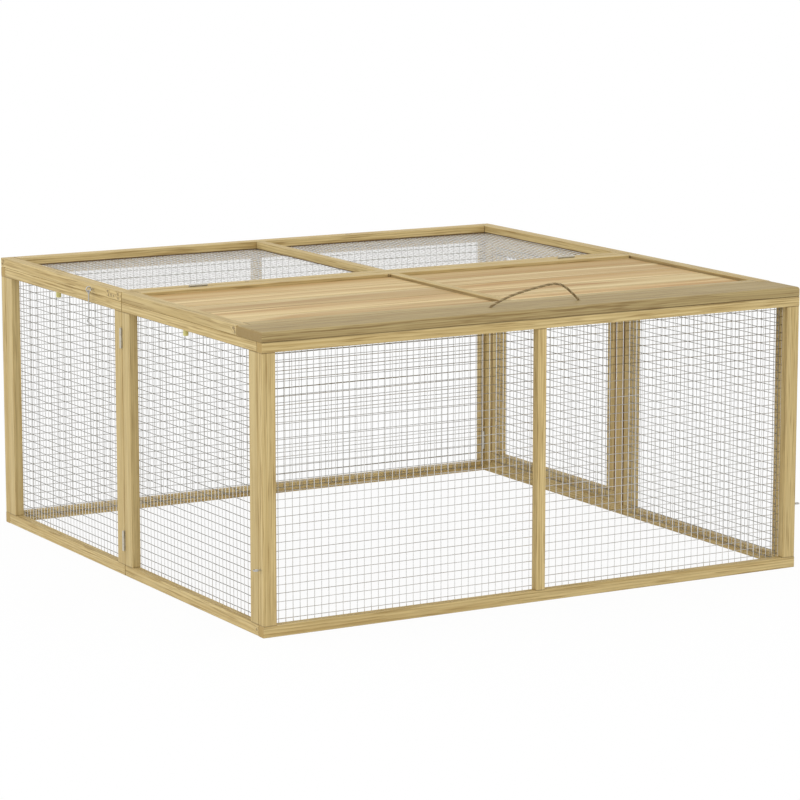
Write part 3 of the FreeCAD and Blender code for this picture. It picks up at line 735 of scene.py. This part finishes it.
HEART_SEED = 1000
HEART_NEAR = 0.05
HEART_FAR = 0.16
for number, node_name in enumerate(sorted(name for name in nodes if name.endswith(TIMBER_ENDINGS))):
    placing = random.Random(HEART_SEED + number)
    way = grain_of(node_name)
    offset = Vector([placing.uniform(HEART_NEAR, HEART_FAR) * placing.choice((-1, 1)) for axis in range(3)])
    heart_line = middle_of(node_name) + offset
    marks = marks_of(node_name, way)
    finished = wood(f"wood_{node_name}", way, number, timber_of(node_name), heart_line, **marks)
    nodes[node_name].data.materials.clear()
    nodes[node_name].data.materials.append(finished)


# Wire mesh: two layers of straight wires, welded where they cross

WIRE_RADIUS = 0.52 * MM
WELD_SINK = 0.3 * MM
UPRIGHT_PITCH = 11.9 * MM
LEVEL_PITCH = 12.7 * MM
WIRE_STEP = 42 * MM
WIRE_SWAY = 0.22 * MM
WIRE_SIDES = 6
WIRE_GRAIN = 60.0
NET_SEED = 300


def wire_zinc(name, light, dark, roughness, painted_reflection=None):
    return metal(name, linear(*light), linear(*dark), roughness, 1.0, WIRE_GRAIN, painted_reflection)


# Lit and shaded copies of one zinc, painted lighter or darker for the light and reflections their wires get;
# the front level wires also get a painted brown reflection near the top
lit_zinc = wire_zinc("lit_zinc", (236, 235, 233), (205, 204, 200), 0.26)
reflecting_front_zinc = wire_zinc("reflecting_front_zinc", (211, 209, 204), (178, 176, 171), 0.34, painted_reflection=linear(126, 112, 82))
shaded_inner_zinc = wire_zinc("shaded_inner_zinc", (204, 203, 199), (172, 171, 167), 0.36)
dark_shaded_zinc = wire_zinc("dark_shaded_zinc", (160, 156, 145), (124, 120, 109), 0.4)
shaded_side_zinc = wire_zinc("shaded_side_zinc", (146, 142, 131), (108, 104, 94), 0.4)
lit_roof_zinc = wire_zinc("lit_roof_zinc", (238, 237, 235), (213, 212, 209), 0.4)

# The zinc of a net's two layers of wire: lit and shaded copies of one zinc, painted lighter or darker for the
# light, shade and reflections on each wall and layer
WIRE_ZINC = {
    "front_mesh": (lit_zinc, reflecting_front_zinc),
    "left_front_mesh": (lit_zinc, shaded_side_zinc),
    "left_rear_mesh": (lit_zinc, shaded_side_zinc),
    "right_front_mesh": (shaded_inner_zinc, dark_shaded_zinc),
    "right_rear_mesh": (shaded_inner_zinc, dark_shaded_zinc),
    "back_mesh": (shaded_inner_zinc, dark_shaded_zinc),
    "roof_mesh": (lit_roof_zinc, lit_roof_zinc),
}


def net_wires(low, high, run, across, flat, level, pitch, drawn):
    """Wires that run one way over a net, side by side."""
    width = high[across] - low[across]
    length = high[run] - low[run]
    count = round(width / pitch)
    steps = max(2, round(length / WIRE_STEP))
    shapes = []
    for number in range(count + 1):
        side = low[across] + WIRE_RADIUS + (width - 2 * WIRE_RADIUS) * number / count
        sway = 0 if number in (0, count) else WIRE_SWAY
        points = []
        for step in range(steps + 1):
            point = Vector((0, 0, 0))
            point[run] = low[run] + length * step / steps
            point[across] = side + drawn.uniform(-sway, sway)
            point[flat] = level
            points.append(point)
        shapes.append(tube(points, WIRE_RADIUS, WIRE_SIDES))
    return shapes


def wire_net(node, seed):
    """Two layers of wire in a node's box: one on its outer side, and one across it, welded to it behind."""
    low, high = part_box(node)
    spans = high - low
    flat = min(range(3), key=lambda axis: spans[axis])
    first, second = [axis for axis in range(3) if axis != flat]
    outward = 1 if low[flat] + high[flat] > 0 else -1
    outer_face = high[flat] if outward > 0 else low[flat]
    near = outer_face - outward * WIRE_RADIUS
    far = near - outward * (2 * WIRE_RADIUS - WELD_SINK)
    drawn = random.Random(seed)
    uprights = net_wires(low, high, second, first, flat, near, UPRIGHT_PITCH, drawn)
    levels = net_wires(low, high, first, second, flat, far, LEVEL_PITCH, drawn)
    first_zinc, second_zinc = WIRE_ZINC[node]
    piece = new_piece(f"{node}_wires", uprights + levels, first_zinc, node, smooth_angle=60)
    piece.data.materials.append(second_zinc)
    first_level = sum(len(faces) for corners, faces in uprights)
    for face in piece.data.polygons[first_level:]:
        face.material_index = 1


for number, node_name in enumerate(sorted(name for name in nodes if name.endswith("_mesh"))):
    wire_net(node_name, NET_SEED + number)


# Pegs: round dowels with an eased lower end

DOWEL_EASE = 0.9 * MM
DOWEL_SIDES = 32
PEG_HEART = Vector((0.01, 0.02, 0))
PEG_SEED = 500


def dowel(node, seed):
    low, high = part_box(node)
    middle = (low + high) / 2
    radius = (high.x - low.x) / 2
    height = high.z - low.z
    corner = 0.3 * DOWEL_EASE
    profile = [(0.0, 0.0), (radius - DOWEL_EASE, 0.0), (radius - corner, corner), (radius, DOWEL_EASE),
               (radius, height), (0.0, height)]
    place = Matrix.Translation((middle.x, middle.y, low.z))
    material = wood(f"wood_{node}", "z", seed, PEG_TIMBER, middle + PEG_HEART)
    new_piece(f"{node}_dowel", [lathe(profile, DOWEL_SIDES, place)], material, node)


for number, node_name in enumerate(sorted(name for name in nodes if name.endswith("_peg"))):
    dowel(node_name, PEG_SEED + number)


# Hooks and screw eyes of bent wire

bright_zinc = metal("bright_zinc", linear(214, 214, 212), linear(164, 163, 160),
                    roughness=0.34, metallic=0.9, grain_scale=240.0)
EYE_WIRE = 1 * MM
EYE_RING = 4 * MM
EYE_NECK = 4 * MM
EYE_SCREW = 12 * MM
HOOK_WIRE = 1 * MM
HOOK_LOOP = 2.6 * MM
BENT_SIDES = 12
EYE_STEPS = 36
HOOK_STEPS = 32
HOOK_RESOLUTION = 10
HUTCH_EDGE = 475 * MM
ROOF_EYE = Vector((0, 104, 442.5)) * MM
FRONT_EYE = Vector((0, -464, 101)) * MM


def circle(centre, radius, axis, start, steps):
    turns = [Quaternion(axis, 2 * math.pi * step / steps) for step in range(steps)]
    return [centre + turn @ (start * radius) for turn in turns]


def screw_eye(sign, spot, axis):
    """A ring on a neck whose straight end is in the wood."""
    outward = AXES["x"] * sign
    centre = Vector((sign * (HUTCH_EDGE + EYE_NECK + EYE_RING), spot.y, spot.z))
    neck = centre - outward * EYE_RING
    shank = [neck, neck - outward * EYE_NECK, neck - outward * (EYE_NECK + EYE_SCREW)]
    ring = circle(centre, EYE_RING, axis, -outward, EYE_STEPS)
    return [tube(ring, EYE_WIRE, BENT_SIDES, closed=True), tube(shank, EYE_WIRE, BENT_SIDES)]


def screw_eyes(node, spot, axis):
    shapes = [*screw_eye(-1, spot, axis), *screw_eye(1, spot, axis)]
    new_piece(f"{node}_wire", shapes, bright_zinc, node)


# The hook below its loop, in millimetres: how far to the back and how far down
HOOK_BEND = ((0, 12), (0, 26), (0, 38), (3, 44), (8, 46.5), (3, 49.5), (-10, 51))


def hook(node, sign):
    """A loop round the roof's eye, a straight shank and a bent tip."""
    centre = Vector((sign * (HUTCH_EDGE + EYE_NECK + EYE_RING), ROOF_EYE.y, ROOF_EYE.z - EYE_RING))
    bottom = centre - AXES["z"] * HOOK_LOOP
    route = [bottom, *[centre + Vector((0, back, -drop)) * MM for back, drop in HOOK_BEND]]
    loop = circle(centre, HOOK_LOOP, AXES["x"], -AXES["z"], HOOK_STEPS)
    shapes = [tube(loop, HOOK_WIRE, BENT_SIDES, closed=True)]
    shapes.append(tube(smooth_line(route, HOOK_RESOLUTION), HOOK_WIRE, BENT_SIDES, rounded_ends=True))
    new_piece(f"{node}_wire", shapes, bright_zinc, node)


screw_eyes("roof_screw_eyes", ROOF_EYE, AXES["y"])
screw_eyes("front_screw_eyes", FRONT_EYE, AXES["z"])
hook("left_hook", -1)
hook("right_hook", 1)


# Hinges: rolled knuckles on a pin, with leaves in the seams

HINGE_LENGTH = 32 * MM
KNUCKLE = 2 * MM
KNUCKLE_ROOM = 0.2 * MM
STAND_OFF = KNUCKLE + KNUCKLE_ROOM
LEAF = 0.5 * MM
LEAF_WIDTH = 13 * MM
PIN = 1 * MM
PANEL = 15 * MM
SEAM_HALF = 1 * MM
CORNER_FACE = 1 * MM
KNUCKLE_EASE = 0.25 * MM
KNUCKLE_SIDES = 24
PIN_DOME = 0.5 * MM
PIN_SIDES = 20
hinge_zinc = metal("hinge_zinc", linear(218, 214, 203), linear(180, 175, 162),
                   roughness=0.42, metallic=0.6, grain_scale=180.0)


def knuckle(start, end, place):
    profile = [(0.0, start), (KNUCKLE - KNUCKLE_EASE, start), (KNUCKLE, start + KNUCKLE_EASE),
               (KNUCKLE, end - KNUCKLE_EASE), (KNUCKLE - KNUCKLE_EASE, end), (0.0, end)]
    return lathe(profile, KNUCKLE_SIDES, place)


def hinge_pin(place):
    """A pin with domed ends: each pair is a share of its radius and of the dome's height."""
    dome = ((0.0, 1.0), (0.6, 0.8), (1.0, 0.2))
    profile = [(radius * PIN, -height * PIN_DOME) for radius, height in dome]
    profile += [(radius * PIN, HINGE_LENGTH + height * PIN_DOME) for radius, height in reversed(dome)]
    return lathe(profile, PIN_SIDES, place)


def hinge_leaf(direction, low, high, outer, place):
    """One leaf: its plate, its knuckles and, on the outer leaf, the pin."""
    third = HINGE_LENGTH / 3
    ends = sorted((direction * STAND_OFF, direction * (STAND_OFF + LEAF_WIDTH)))
    tongue = sorted((0, direction * STAND_OFF))
    sides = sorted((low, high))
    shapes = [plate((ends[0], sides[0], 0), (ends[1], sides[1], HINGE_LENGTH), place)]
    spans = [(third, 2 * third)]
    if outer:
        spans = [(0, third - KNUCKLE_ROOM), (2 * third + KNUCKLE_ROOM, HINGE_LENGTH)]
    for start, end in spans:
        shapes.append(knuckle(start, end, place))
        shapes.append(plate((tongue[0], sides[0], start), (tongue[1], sides[1], end), place))
    if outer:
        shapes.append(hinge_pin(place))
    return shapes


WALL_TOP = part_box("back_top_rail")[1].z
HINGE_FROM_EDGE = 56.5 * MM
HINGE_BOTTOMS = (HINGE_FROM_EDGE - HINGE_LENGTH / 2, WALL_TOP - HINGE_FROM_EDGE - HINGE_LENGTH / 2)
HUTCH_FRONT = 471.5 * MM
CORNER_X = HUTCH_EDGE - PANEL - STAND_OFF
CORNER_Y = HUTCH_FRONT - PANEL - STAND_OFF
SEAM_X = HUTCH_EDGE + STAND_OFF

# Each hinge line: its axis, the way its leaves point, and the two wood faces of its gap
HINGE_LINES = {
    "back_left": (-CORNER_X, CORNER_Y, -1, STAND_OFF, CORNER_FACE),
    "back_right": (CORNER_X, CORNER_Y, 1, STAND_OFF, CORNER_FACE),
    "front_left": (-CORNER_X, -CORNER_Y, -1, -STAND_OFF, -CORNER_FACE),
    "front_right": (CORNER_X, -CORNER_Y, 1, -STAND_OFF, -CORNER_FACE),
    "left_seam": (-SEAM_X, 0, 1, SEAM_HALF, -SEAM_HALF),
    "right_seam": (SEAM_X, 0, -1, SEAM_HALF, -SEAM_HALF),
}


def wall_hinges(node, *lines):
    """A panel's leaves, given by their hinge lines and whether each is the outer leaf there."""
    shapes = []
    for line, outer in lines:
        x, y, direction, first_face, second_face = HINGE_LINES[line]
        face = first_face if outer else second_face
        inward = 1 if second_face < first_face else -1
        other = face + (-inward if outer else inward) * LEAF
        for bottom in HINGE_BOTTOMS:
            shapes += hinge_leaf(direction, face, other, outer, Matrix.Translation((x, y, bottom)))
    new_piece(f"{node}_rolled", shapes, hinge_zinc, node)


LID_HINGE = 342 * MM


def roof_hinges(node, low, high, outer):
    """The two leaves of the roof or of the lid, between two places in the gap."""
    shapes = []
    for side in (-1, 1):
        spot = Matrix.Translation((side * LID_HINGE - HINGE_LENGTH / 2, 0, ROOF_TOP + STAND_OFF))
        shapes += hinge_leaf(1, low, high, outer, spot @ Matrix.Rotation(math.pi / 2, 4, "Y"))
    new_piece(f"{node}_rolled", shapes, hinge_zinc, node)


wall_hinges("back_hinge_leaves", ("back_left", True), ("back_right", True))
wall_hinges("front_hinge_leaves", ("front_left", True), ("front_right", True))
for wall in ("left", "right"):
    wall_hinges(f"{wall}_rear_hinge_leaves", (f"back_{wall}", False), (f"{wall}_seam", True))
    wall_hinges(f"{wall}_front_hinge_leaves", (f"front_{wall}", False), (f"{wall}_seam", False))
roof_hinges("roof_hinge_leaves", SEAM_HALF - LEAF, SEAM_HALF, True)
roof_hinges("lid_hinge_leaves", -SEAM_HALF, LEAF - SEAM_HALF, False)


# Rope handle: three strands laid together, knotted under the front board

ROPE_Y = -423.5 * MM
ROPE_DIAMETER = 4 * MM

# The rope's two holes, and its route in millimetres: along the front, and above the board
ROPE_LEFT = -66
ROPE_RIGHT = 96
ROPE_ROUTE = ((ROPE_LEFT, -10), (ROPE_LEFT, 0), (-52, 6.6), (-30, 14.6), (-6, 20.4), (20, 25), (44, 28.6),
              (60, 27.6), (71, 21.6), (83, 11.6), (ROPE_RIGHT, 0), (ROPE_RIGHT, -10))
ROPE_RESOLUTION = 16
ROPE_SMOOTHING = 80
STRANDS = 3
STRAND_SIDES = 10
STRAND = 1.02 * MM
STRAND_OFFSET = ROPE_DIAMETER / 2 - STRAND
LAY_LENGTH = 13 * MM
dark_yarn = rope_yarn("dark_yarn", linear(104, 87, 58), linear(168, 146, 105))
pale_yarn = rope_yarn("pale_yarn", linear(140, 120, 84), linear(203, 185, 143))


def strands(line, count, sides):
    """Strands wound round a line."""
    frames = travelling_frames(line)
    paths = [[] for strand in range(count)]
    travelled = 0.0
    for number, (point, (ahead, across, upward)) in enumerate(zip(line, frames)):
        if number:
            travelled += (point - line[number - 1]).length
        for strand, path in enumerate(paths):
            angle = 2 * math.pi * (travelled / LAY_LENGTH + strand / count)
            path.append(point + (across * math.cos(angle) + upward * math.sin(angle)) * STRAND_OFFSET)
    return [tube(path, STRAND, sides) for path in paths]


rope_points = [(x * MM, ROPE_Y, ROOF_TOP + rise * MM) for x, rise in ROPE_ROUTE]
rope_line = smooth_line(rope_points, ROPE_RESOLUTION)
laid = strands(rope_line, STRANDS, STRAND_SIDES)
rope = new_piece("rope_handle_strands", laid, dark_yarn, "rope_handle", ROPE_SMOOTHING)
rope.data.materials.append(pale_yarn)
for face in rope.data.polygons[:len(laid[0][1])]:
    face.material_index = 1
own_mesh(rope)


# Each end's knot: a closed line that winds twice round its middle, three times in and out and up and down
TIE_HEIGHT = 440 * MM
TIE_RADIUS = 2.55 * MM
TIE_SWING = 0.85 * MM
TIE_RISE = 1.9 * MM
TIE_STRAND = 1.4 * MM
TIE_STEPS = 72


def knot(x):
    """The rope's end tied in itself."""
    centre = Vector((x, ROPE_Y, TIE_HEIGHT))
    points = []
    for step in range(TIE_STEPS):
        turn = 4 * math.pi * step / TIE_STEPS
        out = TIE_RADIUS + TIE_SWING * math.cos(1.5 * turn)
        rise = TIE_RISE * math.sin(1.5 * turn)
        points.append(centre + Vector((out * math.cos(turn), out * math.sin(turn), rise)))
    return tube(points, TIE_STRAND, STRAND_SIDES, closed=True)


rope_ends = [knot(ROPE_LEFT * MM), knot(ROPE_RIGHT * MM)]
new_piece("rope_knots_tied", rope_ends, dark_yarn, "rope_knots", ROPE_SMOOTHING)


# Floor, light and camera

FLOOR_SIZE = 60
FLOOR_GREY = (0.93, 0.93, 0.93, 1)
FLOOR_ROUGHNESS = 0.9
WHITE = (1, 1, 1, 1)
FADE_SPAN = 4.0
FADE_RAMP = [(0.16, 0.94), (0.4, 1.0)]
WORLD_LEVEL = 0.86
LIT_SPOT = (0, 0, 0.2)
LENS = 152.2
SENSOR = 36
VIEW_END = 100
CAMERA_PLACE = (-2.6767, -4.7221, 1.1909)
CAMERA_DOWN = 9.945
CAMERA_TURN = -29.754


def white_floor():
    """A pale floor that fades to white away from the hutch and keeps its shadow near it."""
    bpy.ops.mesh.primitive_plane_add(size=FLOOR_SIZE, location=(0, 0, 0))
    floor = bpy.context.object
    floor.name = "floor"
    shader = Shader("pale_floor")
    material = shader.finish(FLOOR_GREY, FLOOR_ROUGHNESS)
    tree = shader.tree
    glow = tree.nodes.new("ShaderNodeEmission")
    glow.inputs["Color"].default_value = WHITE
    blend = tree.nodes.new("ShaderNodeMixShader")
    away = shader.vector("LENGTH", shader.place())
    fade = shader.ramp(shader.math("DIVIDE", away, FADE_SPAN), FADE_RAMP)
    path = tree.nodes.new("ShaderNodeLightPath")
    seen = shader.math("MAXIMUM", path.outputs["Is Camera Ray"], path.outputs["Is Glossy Ray"])
    seen = shader.math("MAXIMUM", seen, path.outputs["Is Transmission Ray"])
    shader.feed(blend.inputs[0], shader.math("MULTIPLY", fade, seen))
    tree.links.new(shader.surface.outputs[0], blend.inputs[1])
    tree.links.new(glow.outputs[0], blend.inputs[2])
    tree.links.new(blend.outputs[0], tree.nodes["Material Output"].inputs["Surface"])
    floor.data.materials.append(material)


def soft_light(name, place, width, power):
    """A square lamp that looks at the hutch."""
    lamp = bpy.data.lights.new(name, "AREA")
    lamp.shape = "SQUARE"
    lamp.size = width
    lamp.energy = power
    holder = bpy.data.objects.new(name, lamp)
    holder.location = place
    holder.rotation_euler = (Vector(LIT_SPOT) - Vector(place)).to_track_quat("-Z", "Y").to_euler()
    bpy.context.scene.collection.objects.link(holder)


def white_world(level):
    """Even light at a level, and plain white where the camera or a reflection looks past the floor."""
    world = bpy.data.worlds.new("studio")
    bpy.context.scene.world = world
    world.use_nodes = True
    tree = world.node_tree
    background = tree.nodes["Background"]
    background.inputs["Color"].default_value = WHITE
    path = tree.nodes.new("ShaderNodeLightPath")
    strength = tree.nodes.new("ShaderNodeMapRange")
    tree.links.new(path.outputs["Is Diffuse Ray"], strength.inputs["Value"])
    strength.inputs["To Min"].default_value = 1.0
    strength.inputs["To Max"].default_value = level
    tree.links.new(strength.outputs[0], background.inputs["Strength"])


def camera():
    """The photograph's view: from the front left, a little above, with a long lens."""
    lens = bpy.data.cameras.new("camera")
    lens.lens = LENS
    lens.sensor_width = SENSOR
    lens.clip_end = VIEW_END
    holder = bpy.data.objects.new("camera", lens)
    holder.location = CAMERA_PLACE
    holder.rotation_euler = (math.radians(90 - CAMERA_DOWN), 0, math.radians(CAMERA_TURN))
    bpy.context.scene.collection.objects.link(holder)
    bpy.context.scene.camera = holder


bpy.context.scene.view_settings.view_transform = "Standard"
white_floor()
white_world(WORLD_LEVEL)
soft_light("key", (-1.6, -3.2, 3.6), width=3.0, power=48)
soft_light("left_fill", (-4.0, 0.5, 2.0), width=2.5, power=26)
camera()
